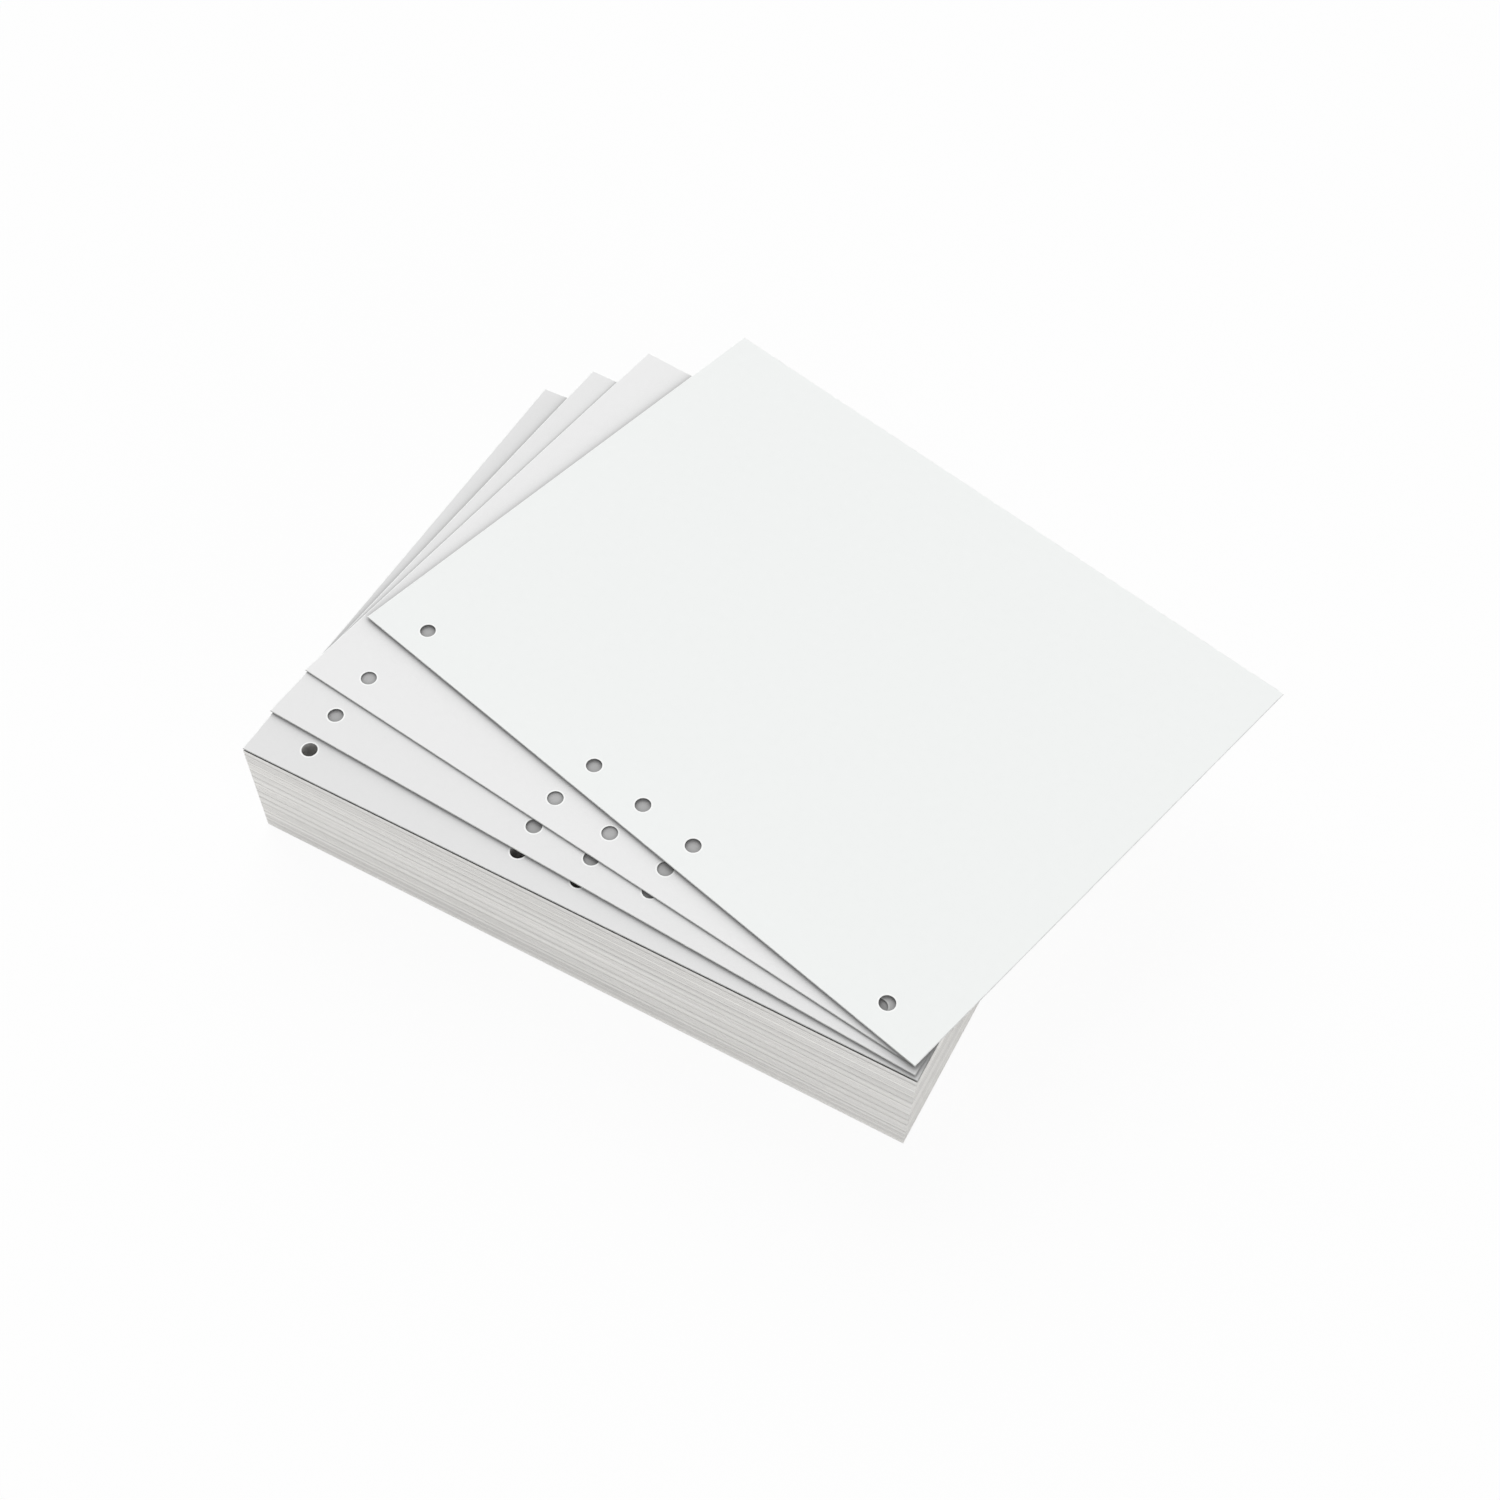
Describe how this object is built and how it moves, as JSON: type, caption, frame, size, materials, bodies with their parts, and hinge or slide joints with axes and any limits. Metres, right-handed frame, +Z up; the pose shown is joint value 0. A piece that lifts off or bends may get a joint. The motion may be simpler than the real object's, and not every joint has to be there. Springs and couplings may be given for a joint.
{
  "type": "ream of hole-punched paper",
  "caption": "Squared pile of letter-size paper punched along one long edge, its top sheets fanned out clockwise about one corner so that their rows of holes show.",
  "frame": {"origin": "middle of the squared pile's underside, where it rests on a table", "axes": "+X along the punched long edge, towards the corner that the sheets are fanned about; +Y from the punched edge to the back of the pile; +Z up out of the pile's top"},
  "size_m": [0.3318, 0.2827, 0.054],
  "materials": {
    "pile_paper": "matte cut edges of stacked uncoated sheets",
    "sheet_paper": "matte uncoated",
    "upper_sheet_paper": "matte uncoated"
  },
  "bodies": {
    "root": {"squared_pile": "pile_paper", "pile_top_sheet": "sheet_paper", "lower_fanned_sheet": "sheet_paper", "middle_fanned_sheet": "sheet_paper", "upper_fanned_sheet": "upper_sheet_paper"}
  },
  "joints": []
}
